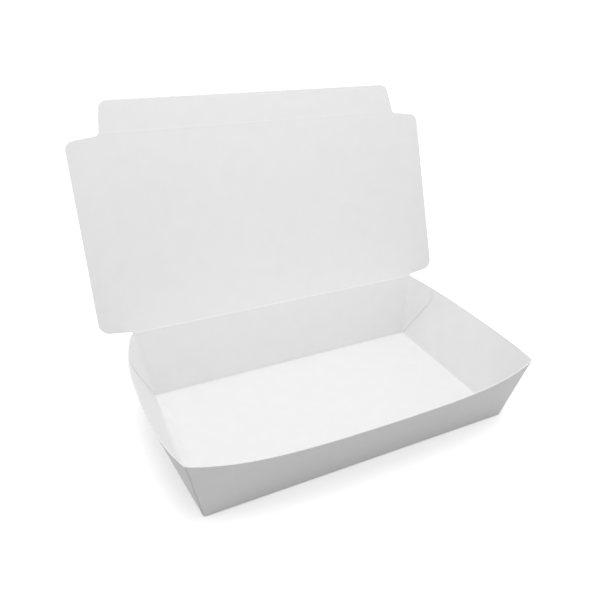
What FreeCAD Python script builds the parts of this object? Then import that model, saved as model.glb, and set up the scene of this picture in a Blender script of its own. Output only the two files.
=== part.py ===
# A takeaway box of white paperboard: a tray with flaring, bowed walls, a lid that continues
# its back wall, and three tuck flaps round the lid. It is cut and creased from one sheet,
# and the tray's four corner tabs are glued. Millimetres, +Z up, +X along the long side and
# +Y towards the lid's hinge. The origin is the middle of the base's underside.
import FreeCAD, Part
import os
from math import atan2, cos, degrees, radians, sin, tan

import Sketcher
from FreeCAD import Placement, Rotation, Vector

os.makedirs("parts", exist_ok=True)
doc = FreeCAD.newDocument("takeaway_box")

# Driving dimensions
SIZES = (
    ("board", 0.45, "thickness of the board"),
    ("fold_radius", 0.4, "outer radius of the folds round the base"),
    ("base_length", 180, "base between its end creases"),
    ("base_width", 101, "base between its front and back creases"),
    ("rim_height", 41, "height of the rim's four corners"),
    ("end_flare", 7.8, "how far a corner fold leans out along X"),
    ("side_flare", 7.3, "how far a corner fold leans out along Y"),
    ("front_lean", 23.4, "lean of the front wall's middle, in degrees from upright"),
    ("left_lean", 22.2, "lean of the left wall's middle"),
    ("right_lean", 19.8, "lean of the right wall's middle"),
    ("left_bulge", 8, "how far the left wall's furthest point is behind its middle"),
    ("rim_flat", 0.3, "depth of the short flat at the middle of a bowed rim"),
    ("tab_reach", 21, "how far a glued corner tab reaches along the end wall"),
    ("tab_end", 7.5, "length of the tab's outer end, down from its top edge"),
    ("tab_top_gap", 2, "tab's top edge below the rim's corner"),
    ("tab_shoulder", 4, "run beside the fold, over which the tab's top edge comes down"),
    ("tab_foot", 0.6, "width of the tab at the base's corner"),
    ("tab_round", 3.5, "radius of the tab's two outer corners"),
    ("hinge_rise", 0.75, "lid's hinge line above the rim's corners"),
    ("crease_gap", 0.15, "running gap at a crease that folds"),
    ("lid_length", 112.5, "lid from its hinge to its front crease"),
    ("lid_inset", 0.7, "lid's side creases inside the rim's corners, at the hinge"),
    ("lid_taper", 0.9, "how much nearer the middle each side crease is at the front"),
    ("lid_tilt", 19.9, "lid's lean behind upright, in degrees"),
    ("front_flap_depth", 17.5, "front tuck flap from crease to edge"),
    ("front_flap_taper", 3, "slant of the front flap's ends"),
    ("side_flap_depth", 17.7, "side flap from crease to edge"),
    ("side_flap_front_taper", 2.6, "slant of a side flap's front end"),
    ("side_flap_back_taper", 2.2, "slant of a side flap's hinge end"),
    ("side_flap_back_round", 6.5, "radius of a side flap's corner near the hinge"),
    ("side_flap_back_gap", 1, "side flap's hinge end short of the hinge line"),
    ("side_flap_set", 2, "how far a side flap is already folded in, in degrees"),
    ("flap_end_gap", 0.8, "flap's ends short of the lid's corners"),
    ("flap_round", 5, "radius of a flap's other outer corners"),
)

sheet = doc.addObject("Spreadsheet::Sheet", "sizes")
for row, (alias, value, meaning) in enumerate(SIZES, start=1):
    sheet.set("A%d" % row, str(value))
    sheet.setAlias("A%d" % row, alias)
    sheet.set("B%d" % row, meaning)
doc.recompute()


def size(alias):
    return float(sheet.get(alias))


board = size("board")
half_length = size("base_length") / 2
half_width = size("base_width") / 2
rim_height = size("rim_height")
end_flare = size("end_flare")
side_flare = size("side_flare")

X = Vector(1, 0, 0)
Y = Vector(0, 1, 0)
Z = Vector(0, 0, 1)


class BowedWall:
    """A wall with a straight base crease, whose rim bows out: a flat triangle stands on the
    crease, and from each of the triangle's sides a round cone, with its point in the base's
    corner, leads to the corner fold. The sheet isn't stretched anywhere."""

    def __init__(self, middle, along, out, half_crease, along_flare, out_flare, lean, bulge=0):
        self.middle = middle
        self.along = along
        self.out = out
        self.half_crease = half_crease
        self.bulge = bulge
        self.lean = radians(lean)
        self.up_wall = out * sin(self.lean) + Z * cos(self.lean)
        self.inward = out * -cos(self.lean) + Z * sin(self.lean)
        self.fold_flares = (along_flare, out_flare)
        self.wall_height = self.solve_height()

    def fold(self, side):
        """From the base's corner to the rim's corner; side is -1 or 1 along the crease."""
        along_flare, out_flare = self.fold_flares
        return self.along * (side * along_flare) + self.out * out_flare + Z * rim_height

    def cone(self, side, wall_height):
        """First ruling, axis, half angle and turn of the cone at one end of the wall."""
        rise = atan2(wall_height, self.half_crease - side * self.bulge)
        first = self.along * (-side * cos(rise)) + self.up_wall * sin(rise)
        last = self.fold(side).normalize()
        half_angle = atan2(1 - first.dot(last), self.inward.dot(last))
        axis = first * cos(half_angle) + self.inward * sin(half_angle)
        start = first - axis * first.dot(axis)
        end = last - axis * last.dot(axis)
        turn = atan2(start.cross(end).dot(axis), start.dot(end))
        return first, axis, half_angle, turn, rise

    def solve_height(self):
        """Height of the wall on the flat sheet, at which its cut edge meets both rim corners."""
        fold_length = self.fold(1).Length
        wall_height = fold_length
        for _ in range(60):
            first, axis, half_angle, turn, rise = self.cone(1, wall_height)
            wall_height = fold_length * sin(rise + abs(turn) * sin(half_angle))
        return wall_height

    def corner(self, side):
        return self.middle + self.along * (side * self.half_crease)

    def end(self, side, inside, outside):
        """The conical sheet at one end, from inside to outside of the reference skin."""
        first, axis, half_angle, turn, rise = self.cone(side, self.wall_height)
        apex = self.corner(side)
        reach = 1.6 * self.wall_height / sin(rise)
        section = (
            (-outside / tan(half_angle), -outside),
            (reach, -outside),
            (reach, inside),
            (inside / tan(half_angle), inside),
        )
        points = [apex + first * run + self.inward * depth for run, depth in section]
        face = Part.Face(Part.makePolygon(points + points[:1]))
        return face.revolve(apex, axis if turn > 0 else axis * -1, degrees(abs(turn)))

    def centre(self, inside, outside):
        """The flat triangle between the two cones."""
        top = self.middle + self.along * self.bulge + self.up_wall * self.wall_height
        points = [point - self.inward * outside for point in (self.corner(-1), self.corner(1), top)]
        return Part.Face(Part.makePolygon(points + points[:1])).extrude(self.inward * (inside + outside))

    def above_rim(self):
        """Everything above the plane through the rim's corners and the low point of its middle."""
        low = self.middle + self.up_wall * (self.wall_height - size("rim_flat"))
        corner = self.corner(1) + self.fold(1)
        slope = corner - low
        slope = (slope - self.along * slope.dot(self.along)).normalize()
        span = 4 * self.half_crease
        length = self.along * span
        depth = slope * span
        points = [low - length - depth, low + length - depth, low + length + depth, low - length + depth]
        normal = self.along.cross(slope)
        if normal.z < 0:
            normal = normal * -1
        return Part.Face(Part.makePolygon(points + points[:1])).extrude(normal * span)

    def solid(self, inside, outside):
        whole = self.centre(inside, outside).multiFuse([self.end(side, inside, outside) for side in (-1, 1)])
        return whole.cut(self.above_rim())


def rounded_outline(corners, radius):
    """A closed wire through (point, rounded) corners, with arcs at the rounded ones."""
    count = len(corners)
    entries = []
    for index, (point, is_rounded) in enumerate(corners):
        if not is_rounded:
            entries.append((point, None, point))
            continue
        before = (corners[index - 1][0] - point).normalize()
        after = (corners[(index + 1) % count][0] - point).normalize()
        half_turn = before.getAngle(after) / 2
        bisector = (before + after).normalize()
        cut = radius / tan(half_turn)
        tip = point + bisector * (radius / sin(half_turn) - radius)
        entries.append((point + before * cut, tip, point + after * cut))
    edges = []
    for index, (start, tip, finish) in enumerate(entries):
        if tip is not None:
            edges.append(Part.Arc(start, tip, finish).toShape())
        edges.append(Part.makeLine(finish, entries[(index + 1) % count][0]))
    return Part.Wire(edges)


# Tray: base, four walls and the glued tabs
def corner_tab(wall, side):
    """A glued tab, which comes round the corner fold and lies against the inside of an end wall.
    It is as high as the rim at the fold, and lower beyond its sloping shoulder."""
    fold = wall.fold(side)
    into = wall.along * -side
    reach = into * size("tab_reach")
    top = rim_height - size("tab_top_gap")
    shoulder = size("tab_shoulder")

    def on_fold(height):
        return wall.corner(side) + fold * (height / rim_height)

    outline = (
        (on_fold(-board) + into * size("tab_foot"), False),
        (on_fold(top - size("tab_end")) + reach, True),
        (on_fold(top) + reach, True),
        (on_fold(top) + into * shoulder, False),
        (on_fold(top + shoulder), False),
        (on_fold(top + shoulder) - reach, False),
        (on_fold(-board) - reach, False),
    )
    across = wall.out * (2 * fold.Length)
    face = Part.Face(rounded_outline(outline, size("tab_round")))
    face.translate(across * -0.5)
    sheet_end = wall.end(side, board, board / 2)
    return sheet_end.common(face.extrude(across)).cut(wall.above_rim())


def back_wall():
    """The flat back wall, up to the running gap under the lid's hinge."""
    fold = Y * side_flare + Z * rim_height
    up_wall = Vector(fold).normalize()
    inward = (Y * -rim_height + Z * side_flare).normalize()
    height = (rim_height + size("hinge_rise")) / up_wall.z - board / 2 - size("crease_gap")
    widening = end_flare / fold.Length * height
    crease = Y * half_width
    points = (
        crease - X * half_length,
        crease + X * half_length,
        crease + X * (half_length + widening) + up_wall * height,
        crease - X * (half_length + widening) + up_wall * height,
    )
    return Part.Face(Part.makePolygon(points + points[:1])).extrude(inward * board)


def fold_rounding(along, out, distance, half_crease, lean):
    """What is taken off outside a base crease, so that the board turns up in a round fold."""
    radius = size("fold_radius")
    corner = out * distance
    up_wall = out * sin(lean) + Z * cos(lean)
    half_angle = out.negative().getAngle(up_wall) / 2
    bisector = (up_wall - out).normalize()
    cut = radius / tan(half_angle)
    tip = corner + bisector * (radius / sin(half_angle) - radius)
    arc = Part.Arc(corner - out * cut, tip, corner + up_wall * cut).toShape()
    sides = Part.makePolygon([corner + up_wall * cut, corner, corner - out * cut])
    face = Part.Face(Part.Wire([arc] + sides.Edges))
    face.translate(along * -half_crease)
    return face.extrude(along * (2 * half_crease))


wall_lean = atan2(side_flare, rim_height)
front = BowedWall(Y * -half_width, X, Y * -1, half_length, end_flare, side_flare, size("front_lean"))
left = BowedWall(X * -half_length, Y, X * -1, half_width, side_flare, end_flare, size("left_lean"),
                 size("left_bulge"))
right = BowedWall(X * half_length, Y, X, half_width, side_flare, end_flare, size("right_lean"))

base_length = 2 * (half_length + board)
base = Part.makeBox(base_length, 2 * half_width, board, Vector(-base_length / 2, -half_width, 0))
tray_pieces = [front.solid(board, 0), back_wall()]
for wall in (left, right):
    tray_pieces.append(wall.solid(0, board))
    tray_pieces.extend(corner_tab(wall, side) for side in (-1, 1))
under = Part.makeBox(4 * half_length, 4 * half_width, board, Vector(-2 * half_length, -2 * half_width, -board))
cuts = [
    under,
    fold_rounding(X, Y * -1, half_width, half_length, front.lean),
    fold_rounding(X, Y, half_width, half_length, wall_lean),
]
for wall in (left, right):
    outer_foot = half_length + board / cos(wall.lean)
    cuts.append(fold_rounding(Y, wall.out, outer_foot, half_width, wall.lean))
tray = doc.addObject("Part::Feature", "tray")
tray.Label = "tray"
tray.Shape = base.multiFuse(tray_pieces).cut(cuts).removeSplitter()


# Lid and flaps: flat blanks, drawn in their own plane and then folded to their place
def blank(name, outline, rounded):
    """A body padded to the board's thickness from a quadrilateral of (x, y) expressions;
    rounded pairs a corner's number with the expression of its radius."""
    body = doc.addObject("PartDesign::Body", name)
    body.Label = name
    flat = body.newObject("Sketcher::SketchObject", name + "_outline")
    origin_plane = [item for item in body.Origin.OriginFeatures if item.Role == "XY_Plane"][0]
    flat.AttachmentSupport = (origin_plane, [""])
    flat.MapMode = "FlatFace"
    guess = [Vector(x, y, 0) for x, y in ((0, 0), (90, 0), (80, 20), (10, 20))]
    for index in range(4):
        flat.addGeometry(Part.LineSegment(guess[index], guess[(index + 1) % 4]), False)
    for index in range(4):
        flat.addConstraint(Sketcher.Constraint("Coincident", index, 2, (index + 1) % 4, 1))
    for index, (x, y) in enumerate(outline):
        for kind, expression in (("DistanceX", x), ("DistanceY", y)):
            here = getattr(guess[index], kind[-1].lower())
            number = flat.addConstraint(Sketcher.Constraint(kind, -1, 1, index, 1, here))
            flat.setExpression("Constraints[%d]" % number, expression)
    doc.recompute()
    pad = body.newObject("PartDesign::Pad", name + "_board")
    pad.Profile = flat
    pad.Midplane = True
    pad.setExpression("Length", "sizes.board")
    doc.recompute()
    last = pad
    for index, radius in rounded:
        place = flat.getPoint(index, 1)
        edges = []
        for number, edge in enumerate(last.Shape.Edges, start=1):
            if edge.CenterOfMass.distanceToPoint(place) < board / 10:
                edges.append("Edge%d" % number)
        fillet = body.newObject("PartDesign::Fillet", "%s_corner_%d" % (name, index))
        fillet.Base = (last, edges)
        fillet.setExpression("Radius", radius)
        doc.recompute()
        last = fillet
    return body


hinge_height = rim_height + size("hinge_rise")
hinge_y = half_width + hinge_height * tan(wall_lean) - board / 2 / cos(wall_lean)
hinge = Vector(0, hinge_y, hinge_height)
lid_place = Placement(hinge, Rotation(X, 90 - size("lid_tilt")))

CREASE = "(sizes.board / 2 + sizes.crease_gap)"
LID_BACK = "(sizes.base_length / 2 + sizes.end_flare - sizes.lid_inset)"
LID_FRONT = "(%s - sizes.lid_taper)" % LID_BACK

lid_panel = blank("lid_panel", (
    ("-%s + %s" % (LID_BACK, CREASE), "0"),
    ("%s - %s" % (LID_BACK, CREASE), "0"),
    ("%s - %s" % (LID_FRONT, CREASE), "sizes.lid_length - %s" % CREASE),
    ("-%s + %s" % (LID_FRONT, CREASE), "sizes.lid_length - %s" % CREASE),
), ())
lid_panel.Placement = lid_place

front_flap = blank("front_tuck_flap", (
    ("-%s + sizes.flap_end_gap" % LID_FRONT, "0"),
    ("%s - sizes.flap_end_gap" % LID_FRONT, "0"),
    ("%s - sizes.flap_end_gap - sizes.front_flap_taper" % LID_FRONT, "sizes.front_flap_depth"),
    ("-%s + sizes.flap_end_gap + sizes.front_flap_taper" % LID_FRONT, "sizes.front_flap_depth"),
), ((2, "sizes.flap_round"), (3, "sizes.flap_round")))
front_flap.Placement = lid_place.multiply(Placement(Y * size("lid_length"), Rotation()))

lid_back = half_length + end_flare - size("lid_inset")
for name, side in (("left_side_flap", -1), ("right_side_flap", 1)):
    flap = blank(name, (
        ("sizes.side_flap_back_gap", "0"),
        ("sizes.lid_length - sizes.flap_end_gap", "0"),
        ("sizes.lid_length - sizes.flap_end_gap - sizes.side_flap_front_taper", "sizes.side_flap_depth"),
        ("sizes.side_flap_back_gap + sizes.side_flap_back_taper", "sizes.side_flap_depth"),
    ), ((2, "sizes.flap_round"), (3, "sizes.side_flap_back_round")))
    # The flap's own x runs up the crease, and its y points out from the lid's middle
    crease = Vector(-side * size("lid_taper"), size("lid_length"), 0).normalize()
    outwards = Vector(side * crease.y, -side * crease.x, 0)
    laid_flat = Placement(X * (side * lid_back), Rotation(crease, outwards, crease.cross(outwards), "XYZ"))
    folded_in = Placement(Vector(), Rotation(X, -side * size("side_flap_set")))
    flap.Placement = lid_place.multiply(laid_flat).multiply(folded_in)

doc.recompute()
for item in doc.Objects:
    if "Invalid" in item.State or "Error" in item.State:
        raise RuntimeError("%s failed: %s" % (item.Name, item.State))

SUB_PARTS = ("tray", "lid_panel", "front_tuck_flap", "left_side_flap", "right_side_flap")
for name in SUB_PARTS:
    shape = doc.getObject(name).Shape
    if shape.isNull() or not shape.isValid():
        raise RuntimeError("%s has no valid shape" % name)
for name in SUB_PARTS:
    shape = doc.getObject(name).Shape
    shape.exportStep("parts/%s.step" % name)
    print("%s: %d solid, %.1f mm3" % (name, len(shape.Solids), shape.Volume))
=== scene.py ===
# %% [markdown]
# # A white paperboard takeaway box
# The box is one sheet of solid white board, cut and creased: a base, four leaning walls that
# bow outwards, four glued corner tabs inside the end walls, a lid that continues the back
# wall, and three tuck flaps round the lid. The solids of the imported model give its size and
# the places of its creases. This script dresses them: every sheet gets two faces, a visible
# cut edge, rounded folds and the small ridge that a crease leaves.

# %% Load the frame
from math import atan2, cos, pi, radians, sin, sqrt, tan

import bpy
from mathutils import Matrix, Vector


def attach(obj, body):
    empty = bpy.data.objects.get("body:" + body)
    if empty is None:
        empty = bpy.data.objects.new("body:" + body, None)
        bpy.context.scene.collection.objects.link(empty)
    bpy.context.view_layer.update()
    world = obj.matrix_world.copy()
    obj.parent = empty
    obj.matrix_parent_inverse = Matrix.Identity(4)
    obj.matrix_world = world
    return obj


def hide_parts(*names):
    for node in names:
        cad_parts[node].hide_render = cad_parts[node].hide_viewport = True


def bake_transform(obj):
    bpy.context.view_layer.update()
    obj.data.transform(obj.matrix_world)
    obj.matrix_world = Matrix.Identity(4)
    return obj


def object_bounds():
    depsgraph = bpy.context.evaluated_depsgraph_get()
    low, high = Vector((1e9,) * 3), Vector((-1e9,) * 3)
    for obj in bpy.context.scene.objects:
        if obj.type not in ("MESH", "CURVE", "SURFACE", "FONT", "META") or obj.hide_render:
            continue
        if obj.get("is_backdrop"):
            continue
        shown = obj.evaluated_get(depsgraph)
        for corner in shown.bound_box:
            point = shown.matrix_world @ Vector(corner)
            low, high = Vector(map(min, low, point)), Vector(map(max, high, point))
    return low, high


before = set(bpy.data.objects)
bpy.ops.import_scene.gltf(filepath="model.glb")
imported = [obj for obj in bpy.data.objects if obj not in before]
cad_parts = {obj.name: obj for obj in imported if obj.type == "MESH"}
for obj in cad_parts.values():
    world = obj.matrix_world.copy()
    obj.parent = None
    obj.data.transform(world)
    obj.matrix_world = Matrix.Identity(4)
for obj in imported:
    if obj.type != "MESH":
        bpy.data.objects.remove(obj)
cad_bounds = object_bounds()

print("nodes:", sorted(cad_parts))

# %% [markdown]
# ## Sizes
# The sizes repeat those of the construction, in millimetres, with the outer face of the base
# at height 0, +X along the long side and +Y towards the hinge. `mm` turns a point into the
# scene's metres at the very end, so that all the sums below read as on a drawing.

# %% Sizes in millimetres
BOARD = 0.45
HALF_LENGTH = 90.0
HALF_WIDTH = 50.5
RIM_HEIGHT = 41.0
END_FLARE = 7.8
SIDE_FLARE = 7.3
FRONT_LEAN, LEFT_LEAN, RIGHT_LEAN = 23.4, 22.2, 19.8
LEFT_BULGE = 8.0
RIM_FLAT = 0.3
FOLD_RADIUS = 0.6
GLUE_GAP = 0.04
STRIP = 0.8
HINGE_RISE = 0.75
LID_LENGTH = 112.5
LID_INSET = 0.7
LID_TAPER = 0.9
LID_TILT = 19.9

X = Vector((1, 0, 0))
Y = Vector((0, 1, 0))
Z = Vector((0, 0, 1))
BACK_LEAN = atan2(SIDE_FLARE, RIM_HEIGHT)


def mm(point):
    return point * 0.001


print("base %g x %g mm, rim corners at %g mm" % (2 * HALF_LENGTH, 2 * HALF_WIDTH, RIM_HEIGHT))

# %% [markdown]
# ## Camera
# The photograph looks down into the open box from above its front left corner. Distance,
# angle and lens were worked out from the straight edges of the base and the corners of the
# rim, so the camera is set by these numbers and isn't aimed by eye.

# %% Camera
AZIMUTH, ELEVATION, ROLL = radians(-26.097), radians(28.42), radians(1.18)
ACROSS, UP, AWAY = -14.69, 62.85, 345.3
SENSOR_MM, FOCAL_PIXELS, PICTURE_PIXELS = 36, 574.95, 600
backwards = Vector((sin(AZIMUTH) * cos(ELEVATION), -cos(AZIMUTH) * cos(ELEVATION), sin(ELEVATION)))
level = Vector((cos(AZIMUTH), sin(AZIMUTH), 0))
upright = backwards.cross(level)
right_hand = level * cos(ROLL) + upright * sin(ROLL)
up_hand = upright * cos(ROLL) - level * sin(ROLL)
place = mm(right_hand * ACROSS + up_hand * UP + backwards * AWAY)

camera_data = bpy.data.cameras.new("photo_camera")
camera_data.sensor_width = SENSOR_MM
camera_data.lens = SENSOR_MM * FOCAL_PIXELS / PICTURE_PIXELS
camera = bpy.data.objects.new("photo_camera", camera_data)
camera.matrix_world = Matrix((
    (right_hand.x, up_hand.x, backwards.x, place.x),
    (right_hand.y, up_hand.y, backwards.y, place.y),
    (right_hand.z, up_hand.z, backwards.z, place.z),
    (0, 0, 0, 1),
))
bpy.context.collection.objects.link(camera)
bpy.context.scene.camera = camera
print("lens %.2f mm, camera at" % camera_data.lens, [round(value, 3) for value in place])

# %% [markdown]
# ## Helpers for materials
# Colours are written as the sRGB hex values that a colour picker shows, and one function
# turns them into the linear values that Blender reckons with. A second function adds a node
# together with its settings and the links to its inputs, so that each material below reads
# as a list.

# %% Colour and node helpers
def linear(hex_value):
    """An sRGB hex colour as linear RGBA."""
    channels = []
    for start in (0, 2, 4):
        value = int(hex_value[start:start + 2], 16) / 255
        channels.append(value / 12.92 if value <= 0.04045 else ((value + 0.055) / 1.055) ** 2.4)
    return (*channels, 1)


def add_node(tree, kind, settings=None, inputs=None):
    """Add a node, set its properties, and fill its inputs with values or link them."""
    node = tree.nodes.new(kind)
    for name, value in (settings or {}).items():
        setattr(node, name, value)
    for name, value in (inputs or {}).items():
        if isinstance(value, bpy.types.NodeSocket):
            tree.links.new(value, node.inputs[name])
        else:
            node.inputs[name].default_value = value
    return node


def new_material(name):
    """A material with an empty node tree."""
    material = bpy.data.materials.new(name)
    material.use_nodes = True
    material.node_tree.nodes.clear()
    return material, material.node_tree


print("E6E6E6 is", [round(value, 3) for value in linear("E6E6E6")])

# %% [markdown]
# ## Materials
# The sheet is solid bleached board with a thin matt coating. The coating hides nearly all
# texture: what stays is the cloudy formation of the pulp, about 9 mm across, and a fine grain
# of fibres that softens the gloss. Where the sheet was cut, the coating ends and the bare
# pulp shows. A scanned texture could give all this, but noise is enough for so plain a
# surface and has no seams. Both materials read Object coordinates in real millimetres, so
# the pulp runs on from one piece to the next.

# %% Board materials
def board_material(name, dark, light, roughness, specular, fibre_mm, bump_mm):
    """White board: cloudy pulp in the colour, fine fibres in the bump and the gloss."""
    material, tree = new_material(name)
    where = add_node(tree, "ShaderNodeTexCoord").outputs["Object"]
    clouds = add_node(tree, "ShaderNodeTexNoise", None, {
        "Vector": where, "Scale": 1000 / CLOUD_MM, "Detail": 3.0})
    colour = add_node(tree, "ShaderNodeValToRGB", None, {"Fac": clouds.outputs["Fac"]})
    for element, place, shade in zip(colour.color_ramp.elements, CLOUD_RANGE, (dark, light)):
        element.position = place
        element.color = linear(shade)
    fibres = add_node(tree, "ShaderNodeTexNoise", None, {
        "Vector": where, "Scale": 1000 / fibre_mm, "Detail": 4.0, "Roughness": 0.6})
    gloss = add_node(tree, "ShaderNodeMapRange", None, {
        "Value": fibres.outputs["Fac"],
        "To Min": roughness - GLOSS_SPREAD, "To Max": roughness + GLOSS_SPREAD})
    bump = add_node(tree, "ShaderNodeBump", None, {
        "Strength": BUMP_STRENGTH, "Distance": bump_mm / 1000, "Height": fibres.outputs["Fac"]})
    shader = add_node(tree, "ShaderNodeBsdfPrincipled", None, {
        "Base Color": colour.outputs["Color"],
        "Roughness": gloss.outputs["Result"],
        "IOR": 1.5,
        "Specular IOR Level": specular,
        "Normal": bump.outputs["Normal"],
    })
    add_node(tree, "ShaderNodeOutputMaterial", None, {"Surface": shader.outputs["BSDF"]})
    return material


# nearly all of the noise lies between these values
CLOUD_RANGE = 0.3, 0.7
CLOUD_MM = 9
GLOSS_SPREAD = 0.06
BUMP_STRENGTH = 0.5
# a smooth, even white with a soft, wide sheen; a real fibre is 0.03 mm thick and can't show,
# so the fibres are drawn as tufts of 0.7 mm
coated_board = board_material("coated_white_board", "E5E5E5", "E7E7E7", 0.62, 0.35, 0.7, 0.012)
# bare pulp: a touch darker, quite matt, and rough where the knife tore the fibres
cut_board = board_material("cut_board_edge", "DEDEDD", "E6E6E5", 0.9, 0.1, 0.25, 0.05)
print("materials:", coated_board.name, cut_board.name)

# %% [markdown]
# ## A sheet of board
# Board is one sheet with two faces and a cut edge, and it helps to model it that way. The
# helper below keeps the points of the outer face and, at each, the direction to the inside.
# When it makes the mesh, it copies the face one thickness inwards and closes every free edge
# with a strip of cut board. Shared points keep a fold closed. A Solidify modifier could do
# the same, but here the true direction at each point is known, so the faces also get exact
# shading normals and the small folds don't smear their light over the large walls.

# %% Shading normals of a sheet
def sheet_normals(mesh, count, edge_faces, ways):
    """A normal for each corner of each face. The first count points are the outer face's, the
    rest the inner one's; from the face numbered edge_faces on, the faces are cut edges."""
    normals = []
    for number, face in enumerate(mesh.polygons):
        face.use_smooth = True
        face.material_index = 0 if number < edge_faces else 1
        for vertex in face.vertices:
            if number >= edge_faces:
                normals.append(face.normal)
            elif vertex < count:
                normals.append(-ways[vertex])
            else:
                normals.append(ways[vertex - count])
    return [tuple(normal) for normal in normals]


print("a sheet's faces lie %.2f mm apart" % BOARD)

# %% The sheet helper
class BoardSheet:
    """Points of the outer face, the way inwards at each, and the quads between them."""

    def __init__(self):
        self.outer = []
        self.inward = []
        self.thickness = []
        self.quads = []

    def point(self, place, inward, thickness=BOARD):
        self.outer.append(place.copy())
        self.inward.append(inward.normalized())
        self.thickness.append(thickness)
        return len(self.outer) - 1

    def quad(self, corners):
        a, b, c, d = (self.outer[index] for index in corners)
        facing = (c - a).cross(d - b)
        inward = sum((self.inward[index] for index in corners), Vector())
        self.quads.append(tuple(corners) if facing.dot(inward) < 0 else tuple(reversed(corners)))

    def grid(self, rows, skip=None):
        """Quads between rows of point numbers; skip(row, column) leaves a cell out."""
        for row in range(len(rows) - 1):
            for column in range(len(rows[row]) - 1):
                if skip is None or not skip(row, column):
                    self.quad((rows[row][column], rows[row][column + 1],
                               rows[row + 1][column + 1], rows[row + 1][column]))

    def free_edges(self):
        """Directed edges that only one quad has."""
        directed = {(quad[k], quad[(k + 1) % 4]) for quad in self.quads for k in range(4)}
        return [(a, b) for a, b in sorted(directed) if (b, a) not in directed]

    def make(self, name, transform=Matrix.Identity(4)):
        count = len(self.outer)
        inner = [place + way * thickness
                 for place, way, thickness in zip(self.outer, self.inward, self.thickness)]
        vertices = [mm(transform @ place) for place in self.outer + inner]
        faces = list(self.quads)
        faces += [tuple(index + count for index in reversed(quad)) for quad in self.quads]
        faces += [(b, a, a + count, b + count) for a, b in self.free_edges()]
        if transform.determinant() < 0:
            faces = [tuple(reversed(face)) for face in faces]
        mesh = bpy.data.meshes.new(name)
        mesh.from_pydata(vertices, [], faces)
        mesh.materials.append(coated_board)
        mesh.materials.append(cut_board)
        turn = transform.to_3x3()
        ways = [turn @ way for way in self.inward]
        mesh.normals_split_custom_set(sheet_normals(mesh, count, 2 * len(self.quads), ways))
        piece = bpy.data.objects.new(name, mesh)
        bpy.context.collection.objects.link(piece)
        print("%s: %d points, %d faces" % (name, len(vertices), len(faces)))
        return piece


sample = BoardSheet()
sample.grid([[sample.point(X * x + Y * y, Z) for x in (0, 1, 2)] for y in (0, 1)])
print("a sheet of %d cells has %d free edges" % (len(sample.quads), len(sample.free_edges())))

# %% Steps along an edge
def fractions(count, crowd=0.0):
    """count + 1 numbers from 0 to 1; crowd draws them towards both ends."""
    steps = [index / count for index in range(count + 1)]
    return [(1 - crowd) * step + crowd * (1 - cos(pi * step)) / 2 for step in steps]


print("five steps, crowded:", [round(step, 2) for step in fractions(5, 0.5)])

# %% [markdown]
# ## The walls' shape
# The walls aren't flat: their base crease is straight and their rim bows outwards. Board
# can't stretch, so such a wall is a flat triangle that stands on the crease, with a round
# cone from each of its sides to the corner fold, both with their points in the base's
# corners. A curve dragged by eye would soon look like rubber. The rule below gives, for a
# distance along the wall and a height, the point of the wall's face and its inward normal.

# %% Where a level line meets a cone
def reach_of_cone(start, out, axis, half_angle, guess):
    """How far out from start, which counts from the cone's point, the cone's face lies. There
    the line makes half_angle with the axis, which gives two answers: the one near guess."""
    cone_part, out_part, square = start.dot(axis), out.dot(axis), cos(half_angle) ** 2
    a = out_part ** 2 - square
    b = 2 * cone_part * out_part
    c = cone_part ** 2 - start.length_squared * square
    root = sqrt(max(b * b - 4 * a * c, 0))
    answers = ((-b + root) / (2 * a), (-b - root) / (2 * a))
    return min(answers, key=lambda value: abs(value - guess))


print("a cone of 45 degrees, 1 mm up: %.2f mm" % reach_of_cone(Z, Y, Z, pi / 4, 1))

# %% A wall that bows out
HEIGHT_TRIES, RIM_TRIES, RIM_STEP = 60, 12, 0.8
NO_LENGTH = 1e-9


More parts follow.
